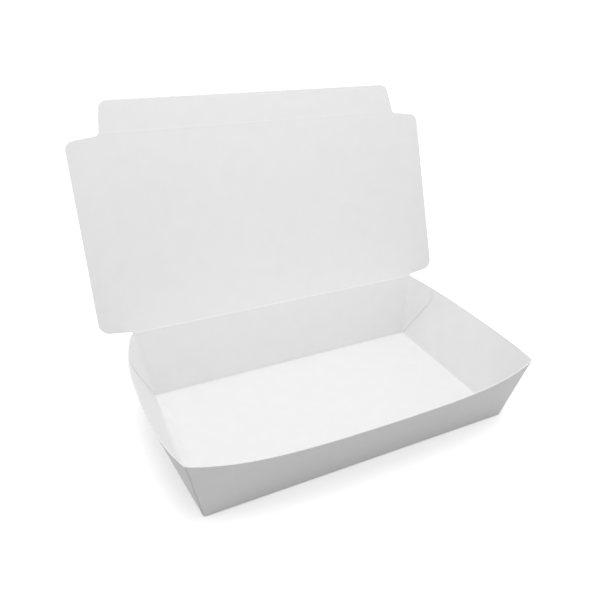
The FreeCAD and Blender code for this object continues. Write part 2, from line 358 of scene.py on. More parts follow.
class BowedWall:
    """A wall with a straight base crease and a rim that bows out."""

    def __init__(self, middle, along, out, half_crease, along_flare, out_flare, lean, bulge=0.0):
        self.middle, self.along, self.out = middle, along, out
        self.half_crease, self.along_flare, self.out_flare = half_crease, along_flare, out_flare
        self.lean, self.bulge = radians(lean), bulge
        self.up_wall = out * sin(self.lean) + Z * cos(self.lean)
        self.inward = out * -cos(self.lean) + Z * sin(self.lean)
        fold_length = self.fold(1, RIM_HEIGHT).length
        # how high the wall is on the flat sheet follows from the length of its fold, by trial
        self.wall_height = fold_length
        for _ in range(HEIGHT_TRIES):
            axis, half_angle, turn, rise = self.cone(1)
            self.wall_height = fold_length * sin(rise + abs(turn) * sin(half_angle))
        self.cones = {side: self.cone(side) for side in (-1, 1)}
        # the rim is one straight cut, so on the bent wall it stays in one plane
        low = self.middle + self.up_wall * (self.wall_height - RIM_FLAT)
        slope = self.corner(1) + self.fold(1, RIM_HEIGHT) - low
        slope -= along * slope.dot(along)
        rim_normal = along.cross(slope).normalized()
        self.rim_point, self.rim_normal = low, rim_normal if rim_normal.z > 0 else -rim_normal

    def corner(self, side):
        return self.middle + self.along * (side * self.half_crease)

    def fold(self, side, height):
        """From the base's corner up the corner fold, to a height."""
        share = height / RIM_HEIGHT
        sideways = self.along * (side * self.along_flare * share)
        return sideways + self.out * (self.out_flare * share) + Z * height

    def cone(self, side):
        """Axis and half angle of the cone beside a corner, its turn, and the rise of the line
        on the flat sheet where it begins."""
        rise = atan2(self.wall_height, self.half_crease - side * self.bulge)
        first = self.along * (-side * cos(rise)) + self.up_wall * sin(rise)
        last = self.fold(side, RIM_HEIGHT).normalized()
        half_angle = atan2(1 - first.dot(last), self.inward.dot(last))
        axis = first * cos(half_angle) + self.inward * sin(half_angle)
        start = first - axis * first.dot(axis)
        end = last - axis * last.dot(axis)
        turn = atan2(start.cross(end).dot(axis), start.dot(end))
        return axis, half_angle, turn, rise

    def cone_normal(self, side, direction):
        axis, half_angle = self.cones[side][:2]
        normal = (axis - direction * cos(half_angle)).normalized()
        return normal if normal.dot(self.inward) > 0 else -normal

    def fold_normal(self, side):
        """The face's normal all along a corner fold."""
        return self.cone_normal(side, self.fold(side, 1).normalized())

    def skin(self, run, height):
        """Point of the wall's face at a distance along the wall and a height, and its normal."""
        rest = height / cos(self.lean)
        for side in (-1, 1):
            room = self.half_crease - side * run
            if rest > self.wall_height * room / (self.half_crease - side * self.bulge):
                axis, half_angle = self.cones[side][:2]
                start = self.along * (run - side * self.half_crease) + Z * height
                if start.length < NO_LENGTH:
                    return self.corner(side), self.fold_normal(side)
                guess = height * tan(self.lean)
                ray = start + self.out * reach_of_cone(start, self.out, axis, half_angle, guess)
                return self.corner(side) + ray, self.cone_normal(side, ray.normalized())
        return self.middle + self.along * run + self.up_wall * rest, self.inward

    def rim(self, run_at):
        """Height at which a column, whose run depends on the height, meets the cut rim."""
        height = RIM_HEIGHT
        for _ in range(RIM_TRIES):
            place, normal = self.skin(run_at(height), height)
            miss = (place - self.rim_point).dot(self.rim_normal) / self.rim_normal.z
            height -= miss * RIM_STEP
        return height


print("a rim's height settles in %d tries" % RIM_TRIES)

# %% The three bowed walls
front = BowedWall(Y * -HALF_WIDTH, X, -Y, HALF_LENGTH, END_FLARE, SIDE_FLARE, FRONT_LEAN)
left = BowedWall(X * -HALF_LENGTH, Y, -X, HALF_WIDTH, SIDE_FLARE, END_FLARE, LEFT_LEAN, LEFT_BULGE)
right = BowedWall(X * HALF_LENGTH, Y, X, HALF_WIDTH, SIDE_FLARE, END_FLARE, RIGHT_LEAN)
print("walls on the flat sheet: front %.2f, left %.2f, right %.2f mm high" % (
    front.wall_height, left.wall_height, right.wall_height))

# %% [markdown]
# ## The base and its four folds
# The walls turn up from the base in small round folds. All of them belong to the same sheet,
# so the base is a grid whose outermost points are also the first points of the folds. At the
# four corners the folds end just short of each other, which leaves the pinhole that a real
# folded corner has. The left fold has relaxed: it is sharp next to both corners, where the
# tabs hold it, and opens into a wide soft bend between them.

# %% Radii of the base's folds
SOFT_RADIUS = 5.0
# between which values of Y the left fold opens, counted from each of its ends
OPENS_FROM_BACK = 46, 6
OPENS_FROM_FRONT = -47, -30


def fold_cut(lean, radius=FOLD_RADIUS):
    """How far from the sharp corner a round fold starts."""
    return radius / tan((pi / 2 + lean) / 2)


def outer_foot(wall):
    """Where an end wall's outer face meets the floor, before its fold is rounded."""
    return HALF_LENGTH + BOARD / cos(wall.lean)


def ease(value, start, end):
    """0 before start, 1 after end, and a soft change between them."""
    share = min(1.0, max(0.0, (value - start) / (end - start)))
    return share * share * (3 - 2 * share)


def softness(place):
    """How far the left fold has relaxed, 0 at its ends and 1 in front of its middle."""
    return ease(place.y, *OPENS_FROM_BACK) * ease(place.y, *OPENS_FROM_FRONT)


def left_radius(place):
    """Radius of the left fold, wide in the middle and sharp at the corners."""
    return FOLD_RADIUS + (SOFT_RADIUS - FOLD_RADIUS) * softness(place)


def even_radius(place):
    return FOLD_RADIUS


print("left fold's radius at 45, 25 and 0 mm:", [round(left_radius(Y * y), 2) for y in (45, 25, 0)])

# %% Base
sheet = BoardSheet()
CORNER_RELIEF = 0.35
END_RELIEF = 0.58
LEAST_FLAT = 0.3
cross_shares = [2 * step - 1 for step in fractions(60, 0.5)]
depth_shares = [2 * step - 1 for step in fractions(36, 0.5)]
base_rows = [-(HALF_WIDTH - fold_cut(front.lean))]
base_rows += [share * (HALF_WIDTH - END_RELIEF) for share in depth_shares]
base_rows.append(HALF_WIDTH - fold_cut(BACK_LEAN))
right_end = outer_foot(right) - fold_cut(right.lean)
flat_right = HALF_LENGTH - CORNER_RELIEF
base = []
for row in base_rows:
    left_end = outer_foot(left) - fold_cut(left.lean, left_radius(Y * row))
    flat_left = min(flat_right, left_end - LEAST_FLAT)
    columns = [-left_end]
    columns += [share * (flat_left if share < 0 else flat_right) for share in cross_shares]
    columns.append(right_end)
    base.append([sheet.point(Vector((column, row, 0)), Z) for column in columns])
sheet.grid(base)
print("base grid: %d x %d points, left fold up to %.1f mm radius" % (
    len(base[0]), len(base), max(left_radius(Y * row) for row in base_rows)))

# %% [markdown]
# ## From the base into the walls
# A crease is never a sharp line: the outer face turns round a small radius, and the inner
# face round one that is a board's thickness smaller. A Bevel modifier could round the edge
# afterwards, but these few rows of points do it with the right normals and keep the radius
# where the board's thickness allows it.

# %% Folds round the base
FOLD_STEPS = 8


def base_fold(edge, out, foot, lean, radius_at=even_radius):
    """Rows of points that turn an edge of the base up into a wall with this lean."""
    rows = [edge]
    for step in range(1, FOLD_STEPS + 1):
        angle = (pi / 2 - lean) * step / FOLD_STEPS
        way = out * sin(angle) - Z * cos(angle)
        row = []
        for index in edge:
            start = sheet.outer[index]
            radius = radius_at(start)
            fold_start = foot - fold_cut(lean, radius)
            centre = start - out * start.dot(out) + out * fold_start + Z * radius
            row.append(sheet.point(centre + way * radius, -way))
        rows.append(row)
    sheet.grid(rows)
    return rows[-1]


front_foot = base_fold(base[0][1:-1], -Y, HALF_WIDTH, front.lean)
back_foot = base_fold(base[-1][1:-1], Y, HALF_WIDTH, BACK_LEAN)
left_edge, right_edge = ([row[end] for row in base[1:-1]] for end in (0, -1))
left_foot = base_fold(left_edge, -X, outer_foot(left), left.lean, left_radius)
right_foot = base_fold(right_edge, X, outer_foot(right), right.lean)
print("fold radius %.2f mm outside, %.2f mm inside" % (FOLD_RADIUS, FOLD_RADIUS - BOARD))

# %% [markdown]
# ## The end walls
# The two short walls lie outside the glued tabs. Their sides are cut just short of the corner
# folds, which leaves the narrow dark groove at each corner, and their rims are cut in a
# straight line on the flat sheet, which shows as a gentle bow once the wall is curved.

# %% End walls
WALL_ROWS = 26
SIDE_RELIEF = 0.8


def end_wall(wall, foot):
    """Rows of points from the base's fold up to the rim; the outer face is one board outside
    the wall's reference face, because the tabs lie inside it."""
    rows = [foot]
    tops = []
    for index, share in zip(foot, depth_shares):
        def run_at(height, share=share):
            return share * (wall.half_crease + wall.along_flare * height / RIM_HEIGHT - SIDE_RELIEF)
        tops.append((run_at, wall.rim(run_at), sheet.outer[index].z))
    for step in fractions(WALL_ROWS)[1:]:
        row = []
        for run_at, top, start in tops:
            height = start + (top - start) * step
            place, normal = wall.skin(run_at(height), height)
            row.append(sheet.point(place - normal * BOARD, normal))
        rows.append(row)
    sheet.grid(rows)
    return rows[-1]


left_rim = end_wall(left, left_foot)
left_finish = len(sheet.outer)
right_rim = end_wall(right, right_foot)
lowest = [min(sheet.outer[index].z for index in rim) for rim in (left_rim, right_rim)]
print("left rim's low point %.1f mm, right rim's %.1f mm" % tuple(lowest))

# %% [markdown]
# ### The relaxed fold
# Around the relaxed left fold the board also bends a little, too little to see in its
# outline. Only the light shows it, so only the shading follows it: there the way inwards
# turns slowly from the base's to the wall's.

# %% The light on the relaxed fold
SOFT_WIDTH, LEAST_SOFT_WIDTH = 11.0, 1.0
near_left = [index for index in range(left_finish) if sheet.outer[index].x < -HALF_LENGTH / 2]
for index in near_left:
    place = sheet.outer[index]
    width = SOFT_WIDTH * softness(place)
    across_fold = place.z / cos(left.lean) + min(0.0, -place.x - outer_foot(left))
    if width >= LEAST_SOFT_WIDTH and abs(across_fold) < width:
        sheet.inward[index] = Z.slerp(left.inward, ease(across_fold, -width, width))
print("%d points near the left wall, bend up to %.1f mm wide" % (
    len(near_left), SOFT_WIDTH * max(softness(sheet.outer[index]) for index in left_rim)))

# %% [markdown]
# ## Front and back walls with their glued tabs
# The long walls run on round the corner folds into the tabs, which lie against the inside of
# the end walls with a hair of glue between. Each is one ribbon of points: tab, fold, wall,
# fold, tab. A tab is as high as the rim at its fold, drops over a small shoulder, and has a
# slanted lower edge, so that it folds in clear of the base. Two of its corners are rounded.
# The press that glues the tab squeezes its free edges, which makes them thinner, so they
# show as a fine line on the wall rather than as a step.

# %% The outline of a tab
TAB_REACH, TAB_END, TAB_GAP = 21.0, 7.5, 2.0
TAB_SHOULDER, TAB_FOOT, TAB_ROUND, TAB_CLEARANCE = 4.0, 0.6, 3.5, 0.05
PRESSED_EDGE, PRESSED_WIDTH = 0.18, 0.6
TAB_TOP = RIM_HEIGHT - TAB_GAP
TAB_TIP = TAB_TOP - TAB_END
tab_slope = (TAB_TIP + BOARD) / (TAB_REACH - TAB_FOOT)


def tab_lower(run):
    """Height of the tab's lower edge at a distance from the corner fold."""
    slant = sqrt(1 + tab_slope ** 2)
    centre = TAB_REACH - TAB_ROUND
    # the rounding's middle lies one radius above the slanted edge
    centre_height = -BOARD + tab_slope * (centre - TAB_FOOT) + TAB_ROUND * slant
    touch = centre + TAB_ROUND * tab_slope / slant
    if run > touch:
        return centre_height - sqrt(max(TAB_ROUND ** 2 - (run - centre) ** 2, 0))
    return max(-BOARD + tab_slope * (run - TAB_FOOT), BOARD + TAB_CLEARANCE)


def tab_upper(run, rim):
    """Height of the tab's top edge, under the wall's rim."""
    top = min(rim, max(TAB_TOP + TAB_SHOULDER - run, TAB_TOP))
    centre = TAB_REACH - TAB_ROUND
    if run > centre:
        top = TAB_TOP - TAB_ROUND + sqrt(max(TAB_ROUND ** 2 - (run - centre) ** 2, 0))
    return top


print("tab: %.1f mm long, its end from %.1f to %.1f mm high" % (
    TAB_REACH, tab_lower(TAB_REACH), tab_upper(TAB_REACH, RIM_HEIGHT)))

# %% [markdown]
# ## From a long wall round the corner
# At each end of a long wall the board turns a corner and goes on as the tab. The fold is
# sharp at the base, where three creases meet, and opens towards the rim, where nothing
# presses it. From outside this leaves a dark groove beside the end wall's cut edge. The
# centre line of the fold is worked out from the two faces, so it can't miss either of them.

# %% Middle of a corner fold
CORNER_STEPS = 7
RIM_CORNER_RADIUS = 1.7


def corner_centre(normal, wall, side, height):
    """Middle and radius of a corner fold at a height, and the tab's normal. The fold is sharp
    at the base and opens towards the rim. Its middle is one radius inside both faces, and a
    glue gap further in at the end wall."""
    radius = FOLD_RADIUS + (RIM_CORNER_RADIUS - FOLD_RADIUS) * height / RIM_HEIGHT
    tab_normal = wall.fold_normal(side)
    across = normal.dot(tab_normal)
    into_wall = (radius - across * (radius + GLUE_GAP)) / (1 - across ** 2)
    into_tab = (radius + GLUE_GAP - across * radius) / (1 - across ** 2)
    on_fold = wall.corner(side) + wall.fold(side, height)
    return on_fold + normal * into_wall + tab_normal * into_tab, radius, tab_normal


def wall_end(normal, wall, side, height):
    """Point of a long wall where its corner fold starts, at a height."""
    centre, radius = corner_centre(normal, wall, side, height)[:2]
    return centre - normal * radius


print("corner folds: %.1f mm radius at the base, %.1f mm at the rim" % (
    FOLD_RADIUS, RIM_CORNER_RADIUS))

# %% Corner folds and tabs
# the steps crowd towards the tab's fold and its end, where its edges are pressed thin
TAB_STEPS, TAB_CROWD = 30, 0.9


def corner_and_tab(edge, normal, wall, side):
    """Carry on from a long wall's end, round its corner fold, into the tab inside an end wall."""
    heights = [sheet.outer[index].z for index in edge]
    columns = [edge]
    for step in range(1, CORNER_STEPS + 1):
        column = []
        for height in heights:
            centre, radius, tab_normal = corner_centre(normal, wall, side, height)
            way = normal.slerp(tab_normal, step / CORNER_STEPS)
            column.append(sheet.point(centre - way * radius, way))
        columns.append(column)
    low, high = heights[0], heights[-1]

    def fold_end(row):
        """How far the fold's rounding reaches into the tab, in a row."""
        place = sheet.outer[columns[CORNER_STEPS][row]]
        return abs((place - wall.corner(side) - wall.fold(side, heights[row])).dot(wall.along))

    for step in fractions(TAB_STEPS, TAB_CROWD)[1:]:
        low_run = fold_end(0) + (TAB_REACH - fold_end(0)) * step
        high_run = fold_end(-1) + (TAB_REACH - fold_end(-1)) * step

        def run_at(height, run=high_run):
            return side * (wall.half_crease + wall.along_flare * height / RIM_HEIGHT - run)
        bottom = max(tab_lower(low_run), low)
        top = tab_upper(high_run, wall.rim(run_at))
        column = []
        for height in heights:
            share = (height - low) / (high - low)
            level_here = bottom + (top - bottom) * share
            run = low_run + (high_run - low_run) * share
            place, way = wall.skin(run_at(level_here, run), level_here)
            margin = min(level_here - bottom, TAB_REACH - run,
                         top - level_here + max(0.0, TAB_SHOULDER - high_run))
            thickness = PRESSED_EDGE + (BOARD - PRESSED_EDGE) * min(1.0, margin / PRESSED_WIDTH)
            column.append(sheet.point(place + way * GLUE_GAP, way, thickness))
        columns.append(column)
    sheet.grid(columns)
    return fold_end(-1)


print("a tab takes %d rows of cells" % (CORNER_STEPS + TAB_STEPS))

# %% [markdown]
# ## The front wall
# The front wall bows out between its two corner folds. It is a grid whose first row is the
# last of the base's fold and whose last row is the cut rim. Each point asks the wall's rule
# for its place, which is surer than bending a flat plane until it looks right.

# %% Front wall
# the first row of a long wall lies just above its foot, which keeps the pinholes small
FIRST_ROW = 0.006
# the outermost columns of a long wall lie where its corner folds start
NEARLY_END = 0.999
front_rows = [front_foot]
front_tops = []
for share in cross_shares:
    def front_run(height, share=share):
        return share * (HALF_LENGTH - CORNER_RELIEF + END_FLARE * height / RIM_HEIGHT)
    front_tops.append((front_run, front.rim(front_run)))
front_start = sheet.outer[front_foot[0]].z
front_ends = {side: front.fold_normal(side) for side in (-1, 1)}
for step in [FIRST_ROW] + fractions(WALL_ROWS)[1:]:
    row = []
    for share, (front_run, top) in zip(cross_shares, front_tops):
        height = front_start + (top - front_start) * step
        if abs(share) > NEARLY_END:
            height = front_start + (RIM_HEIGHT - front_start) * step
            side = 1 if share > 0 else -1
            wall = right if side > 0 else left
            place = wall_end(front_ends[side], wall, -1, height)
            normal = front_ends[side]
        else:
            place, normal = front.skin(front_run(height), height)
        row.append(sheet.point(place, normal))
    front_rows.append(row)
sheet.grid(front_rows)
for side, wall in ((-1, left), (1, right)):
    edge = [row[0 if side < 0 else -1] for row in front_rows[1:]]
    reach = corner_and_tab(edge, front_ends[side], wall, -1)
print("front wall: rim's low point %.1f mm, corner fold reaches %.2f mm into the tab" % (
    min(sheet.outer[index].z for index in front_rows[-1]), reach))

# %% [markdown]
# ## The back wall
# The back wall stays flat, because the lid's crease along its top keeps it straight. Just
# under that crease the pressed line draws the board in by a fraction of a millimetre, which
# the eye sees as a slightly darker band below the hinge. The wall ends where the strip of
# the hinge crease begins.

# %% Back wall, up to the strip of the lid's hinge
back_normal = Y * -cos(BACK_LEAN) + Z * sin(BACK_LEAN)
hinge_height = RIM_HEIGHT + HINGE_RISE
back_start = sheet.outer[back_foot[0]].z
back_top = hinge_height - STRIP * cos(BACK_LEAN) - BOARD / 2 * sin(BACK_LEAN)
HINGE_BEAD, BEAD_RUN, BEAD_END = 0.2, 6.0, 0.955
BACK_ROWS = 40


def bead(below, share):
    """How far the wall leans in on its way up to the hinge, which the pressed crease pulls
    inwards. It dies out at both ends of the crease."""
    return HINGE_BEAD * ease(below, BEAD_RUN, 0) * ease(abs(share), 1, BEAD_END)


back_rows = [back_foot]
for step in [FIRST_ROW] + fractions(BACK_ROWS)[1:]:
    height = back_start + (back_top - back_start) * step
    row = []
    for share in cross_shares:
        run = share * (HALF_LENGTH - CORNER_RELIEF + END_FLARE * height / RIM_HEIGHT)
        place = X * run + Y * (HALF_WIDTH + height * tan(BACK_LEAN)) + Z * height
        if abs(share) > NEARLY_END:
            side = 1 if share > 0 else -1
            place = wall_end(back_normal, right if side > 0 else left, 1, height)
        place += back_normal * bead((back_top - height) / cos(BACK_LEAN) + STRIP, share)
        row.append(sheet.point(place, back_normal))
    back_rows.append(row)
sheet.grid(back_rows)
for side, wall in ((-1, left), (1, right)):
    edge = [row[0 if side < 0 else -1] for row in back_rows[1:]]
    corner_and_tab(edge, back_normal, wall, 1)
print("back wall: up to %.2f mm, %.2f mm under the hinge's middle" % (
    back_top, hinge_height - back_top))

# %% The tray's board as one mesh
tray = sheet.make("tray_board")
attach(tray, "tray")
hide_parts("tray")

# %% [markdown]
# ## The lid
# The lid is the flat panel that continues the back wall. It leans back a little further than
# the wall does, because the hinge crease relaxes when the box stands open. Its sides follow
# the creases of the flaps, and stop one crease strip short of them where a flap hangs on.

# %% Lid panel
hinge_out = HALF_WIDTH + hinge_height * tan(BACK_LEAN) - BOARD / 2 / cos(BACK_LEAN)
hinge = Vector((0, hinge_out, hinge_height))
lid_place = Matrix.Translation(hinge) @ Matrix.Rotation(pi / 2 - radians(LID_TILT), 4, "X")
LID_BACK = HALF_LENGTH + END_FLARE - LID_INSET
FLAP_END_GAP = 0.8
SIDE_FLAP_BACK_GAP = 1.0
LID_ROWS, LID_COLUMNS = 24, 40


def lid_side(run):
    """Distance of the side creases from the middle, at a distance from the hinge."""
    return LID_BACK - LID_TAPER * run / LID_LENGTH


lid_runs = [STRIP, SIDE_FLAP_BACK_GAP]
flap_last = LID_LENGTH - FLAP_END_GAP
flap_length = flap_last - SIDE_FLAP_BACK_GAP
lid_runs += [SIDE_FLAP_BACK_GAP + flap_length * step for step in fractions(LID_ROWS)[1:]]
lid_runs.append(LID_LENGTH)
lid_shares = [2 * step - 1 for step in fractions(LID_COLUMNS)]
lid_sheet = BoardSheet()
lid_rows = []
for run in lid_runs:
    inner_side = lid_side(run) - STRIP
    columns = [-lid_side(run)] + [share * inner_side for share in lid_shares] + [lid_side(run)]
    lid_rows.append([lid_sheet.point(Vector((column, run, -BOARD / 2)), Z) for column in columns])


def under_strip(row, column):
    """Cells that the crease strips of the flaps take."""
    at_side = column in (0, len(lid_shares))
    last = len(lid_runs) - 2
    return 0 < row < last if at_side else row == last


lid_sheet.grid(lid_rows, under_strip)
lid = lid_sheet.make("lid_board", lid_place)
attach(lid, "lid")
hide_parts("lid_panel")

# %% [markdown]
# ## The three tuck flaps
# Each flap is a strip of board with slanted ends and rounded outer corners, so that it slides
# into the closed box without catching. One function draws them all, from the length of the
# crease, the depth, the slants and the two corner radii, in rows that run along the crease.

# %% Outline of a flap
ROUND_STEPS = 10


def flap_end_line(slant, radius, depth):
    """How far a flap's end is set in, as a function of the distance from the crease, and the
    distances at which its rounded corner needs a row."""
    length = sqrt(slant ** 2 + depth ** 2)
    middle = depth - radius
    set_in = (radius * length + middle * slant) / depth
    touch = middle + radius * slant / length

    def inset(run):
        if run <= touch:
            return slant * run / depth
        return set_in - sqrt(max(radius ** 2 - (run - middle) ** 2, 0))
    begin = atan2(touch - middle, sqrt(radius ** 2 - (touch - middle) ** 2))
    angles = [begin + (pi / 2 - begin) * step for step in fractions(ROUND_STEPS)]
    return inset, [middle + radius * sin(angle) for angle in angles]


print("a square corner of 5 mm starts to turn %.1f mm from its crease" % (
    flap_end_line(0, 5, 17.5)[1][0]))

# %% One flap
FLAP_ROWS, FLAP_COLUMNS = 6, 36


def make_flap(name, start, end, depth, slants, radii, transform):
    """A flap on the crease from start to end, reaching out to depth."""
    start_inset, start_rows = flap_end_line(slants[0], radii[0], depth)
    end_inset, end_rows = flap_end_line(slants[1], radii[1], depth)
    curved = sorted(set(round(run, 4) for run in start_rows + end_rows))
    first = min(curved)
    runs = [STRIP + (first - STRIP) * step for step in fractions(FLAP_ROWS)][:-1] + curved
    flap_sheet = BoardSheet()
    rows = []
    for run in runs:
        low, high = start + start_inset(run), end - end_inset(run)
        rows.append([flap_sheet.point(Vector((low + (high - low) * step, run, -BOARD / 2)), Z)
                     for step in fractions(FLAP_COLUMNS)])
    flap_sheet.grid(rows)
    return flap_sheet.make(name, transform)


print("a flap has %d cells along its crease" % FLAP_COLUMNS)

# %% [markdown]
# ### Front tuck flap
# This flap goes in behind the front wall and holds the box shut. It stands in line with the
# lid at rest, and its ends slant by 3 mm.

# %% Front tuck flap
LID_FRONT = lid_side(LID_LENGTH)
FRONT_FLAP_DEPTH = 17.5
front_flap_place = lid_place @ Matrix.Translation(Y * LID_LENGTH)
front_half = LID_FRONT - FLAP_END_GAP
front_flap = make_flap("front_flap_board", -front_half, front_half, FRONT_FLAP_DEPTH,
                       slants=(3.0, 3.0), radii=(5.0, 5.0), transform=front_flap_place)
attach(front_flap, "front_flap")
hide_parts("front_tuck_flap")

# %% [markdown]
# ### Side flaps
# The side flaps go in beside the end walls. Their creases run slightly inwards towards the
# lid's front edge, and at rest they have sprung up by two degrees. Left and right are mirror
# images: each gets its own axes, and the sheet turns its faces round where these mirror.

# %% Side flaps
SIDE_FLAP_DEPTH = 17.7
SIDE_FLAP_SET = radians(2)


def side_crease(side):
    """The way along a side crease, from the hinge outwards, and the way out of the lid."""
    crease = Vector((-side * LID_TAPER, LID_LENGTH, 0)).normalized()
    return crease, Vector((side * crease.y, -side * crease.x, 0))


def side_flap_place(side):
    """The flap's x runs along its crease, its y points out and its z to the inside."""
    crease, outwards = side_crease(side)
    raised = outwards * cos(SIDE_FLAP_SET) + Z * sin(SIDE_FLAP_SET)
    facing = Z * cos(SIDE_FLAP_SET) - outwards * sin(SIDE_FLAP_SET)
    axes = Matrix((crease, raised, facing)).transposed().to_4x4()
    return lid_place @ Matrix.Translation(X * (side * LID_BACK)) @ axes


for side, word in ((-1, "left"), (1, "right")):
    flap = make_flap(word + "_flap_board", SIDE_FLAP_BACK_GAP, flap_last, SIDE_FLAP_DEPTH,
                     slants=(2.2, 2.6), radii=(6.5, 5.0), transform=side_flap_place(side))
    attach(flap, word + "_flap")
    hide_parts(word + "_side_flap")

# %% [markdown]
# ## Crease strips
# A crease is a line that a blunt rule has pressed into the board. The outer face keeps a
# shallow groove, and the crushed fibres stand up on the inner face as a low ridge, which
# catches the light. Four creases of this box move, so each is a narrow strip of its own that
# bends along its middle. They all follow one rule, so one Geometry Nodes tree makes them:
# a closed bar of board with many cuts across it, raised and hollowed along its middle, and
# turned by the angle at which the fold stands. A little noise keeps the ridge from looking
# machined.

# %% Inputs of the crease strip's tree
def new_tree(name, inputs):
    """A Geometry Nodes tree with named inputs, and the values of its inputs."""
    tree = bpy.data.node_groups.new(name, "GeometryNodeTree")
    sockets = tree.interface
    sockets.new_socket(name="Geometry", in_out="OUTPUT", socket_type="NodeSocketGeometry")
    for label, kind, preset in inputs:
        made = sockets.new_socket(name=label, in_out="INPUT", socket_type="NodeSocket" + kind)
        if preset is not None:
            made.default_value = preset
    given = add_node(tree, "NodeGroupInput").outputs
    return tree, {label: given[label] for label, kind, preset in inputs}


crease_tree, values = new_tree("crease_strip", (
    ("Length", "Float", 0.1),
    ("Half Width", "Float", 0.0008),
    ("Thickness", "Float", 0.00045),
    ("Ridge", "Float", 0.0001),
    ("Groove", "Float", 0.00005),
    ("Lift", "Float", 0.0),
    ("Lift End", "Float", 0.955),
    ("Bend", "Float", 0.0),
    ("Steps", "Int", 120),
    ("Seed", "Float", 0.0),
    ("Material", "Material", None),
))
print("inputs:", ", ".join(values))

# %% [markdown]
# ### The bar
# A Mesh Cube node gives the bar, with its length along X and its width along Y. Noise in four
# dimensions, read along the line only, gives the unevenness, and its fourth value is a seed.
# A wave of it is 2.5 mm long.

# %% The crease strip's bar
CUTS_ACROSS = 25
RIPPLE_MM = 2.5
size = add_node(crease_tree, "ShaderNodeVectorMath", {"operation": "MULTIPLY"}, {
    0: add_node(crease_tree, "ShaderNodeCombineXYZ", None, {
        "X": values["Length"], "Y": values["Half Width"], "Z": values["Thickness"]}).outputs[0],
    1: (1, 2, 1)})  # the bar is twice its half width wide
bar = add_node(crease_tree, "GeometryNodeMeshCube", None, {
    "Size": size.outputs[0], "Vertices X": values["Steps"], "Vertices Y": CUTS_ACROSS,
    "Vertices Z": 2})
spot = add_node(crease_tree, "ShaderNodeSeparateXYZ", None, {
    "Vector": add_node(crease_tree, "GeometryNodeInputPosition").outputs[0]}).outputs
line_place = add_node(crease_tree, "ShaderNodeCombineXYZ", None, {"X": spot["X"]})
ripple = add_node(crease_tree, "ShaderNodeTexNoise", {"noise_dimensions": "4D"}, {
    "Vector": line_place.outputs[0], "W": values["Seed"], "Scale": 1000 / RIPPLE_MM, "Detail": 2.0})
values.update({"x": spot["X"], "y": spot["Y"], "z": spot["Z"], "ripple": ripple.outputs[0]})
print("bar: %d rows of points across the strip" % CUTS_ACROSS)

# %% [markdown]
# ### The rule of a crease
# The rule is a list of small sums, one Math node each, written as a table: the name of the
# result, the operation, and its two values, which are numbers, inputs of the tree or results
# from above. Across the strip the middle swells by the cube of a cosine, as a pressed line
# does, and the noise lets its height vary by a quarter. On the hinge the whole board is also
# lifted at the wall's side and comes down to the lid's, except at the ends. The bend is
# rounded over a fifth of a millimetre.

# %% The crease strip's rule
BEND_ROUNDING = 0.0002
RULE = (
    ("across", "DIVIDE", "y", "Half Width"),
    ("quarter turns", "MULTIPLY", "across", pi / 2),
    ("bell", "COSINE", "quarter turns", 0.0),
    ("swell", "POWER", "bell", 3.0),
    ("half ripple", "MULTIPLY", "ripple", 0.5),
    ("uneven", "ADD", "half ripple", 0.75),
    ("uneven ridge", "MULTIPLY", "Ridge", "uneven"),
    ("inner face", "GREATER_THAN", "z", 0.0),
    ("outer face", "SUBTRACT", 1.0, "inner face"),
    ("inner part", "MULTIPLY", "uneven ridge", "inner face"),
    ("outer part", "MULTIPLY", "Groove", "outer face"),
    ("height", "ADD", "inner part", "outer part"),
    ("raised", "MULTIPLY", "height", "swell"),
    ("wave", "SINE", "quarter turns", 0.0),
    ("half wave", "MULTIPLY", "wave", 0.5),
    ("falling", "SUBTRACT", 0.5, "half wave"),
    ("fallen lift", "MULTIPLY", "Lift", "falling"),
    ("from middle", "ABSOLUTE", "x", 0.0),
    ("half length", "MULTIPLY", "Length", 0.5),
    ("along", "DIVIDE", "from middle", "half length"),
    ("y squared", "MULTIPLY", "y", "y"),
    ("softened", "ADD", "y squared", BEND_ROUNDING ** 2),
    ("soft y", "SQRT", "softened", 0.0),
    ("twice past crease", "ADD", "y", "soft y"),
    ("past crease", "MULTIPLY", "twice past crease", 0.5),
    ("slope", "TANGENT", "Bend", 0.0),
    ("bent", "MULTIPLY", "past crease", "slope"),
    ("raised and bent", "ADD", "raised", "bent"),
)
for result, operation, first, second in RULE:
    settings = {"operation": operation, "label": result}
    values[result] = add_node(crease_tree, "ShaderNodeMath", settings, {
        0: values.get(first, first), 1: values.get(second, second)}).outputs[0]
print("rule: %d sums" % len(RULE))

# %% The crease strip's shape
not_at_end = add_node(crease_tree, "ShaderNodeMapRange", {"interpolation_type": "SMOOTHSTEP"}, {
    "Value": values["along"], "From Min": values["Lift End"], "From Max": 1.0,
    "To Min": 1.0, "To Max": 0.0})
shift_height = add_node(crease_tree, "ShaderNodeMath", {"operation": "MULTIPLY_ADD"}, {
    0: values["fallen lift"], 1: not_at_end.outputs["Result"], 2: values["raised and bent"]})
shift = add_node(crease_tree, "ShaderNodeCombineXYZ", None, {"Z": shift_height.outputs[0]})
shaped = add_node(crease_tree, "GeometryNodeSetPosition", None, {
    "Geometry": bar.outputs["Mesh"], "Offset": shift.outputs[0]})
real = add_node(crease_tree, "GeometryNodeRealizeInstances", None, {"Geometry": shaped.outputs[0]})
painted = add_node(crease_tree, "GeometryNodeSetMaterial", None, {
    "Geometry": real.outputs[0], "Material": values["Material"]})
add_node(crease_tree, "NodeGroupOutput", None, {"Geometry": painted.outputs[0]})
print("crease tree: %d nodes" % len(crease_tree.nodes))

# %% [markdown]
# ## From a tree to a mesh
# A tree needs an object to run on. The helper makes one, gives the modifier its values by
# the sockets' identifiers, takes the finished mesh and removes the object again, so what
# stays is a plain mesh with nothing live on it.

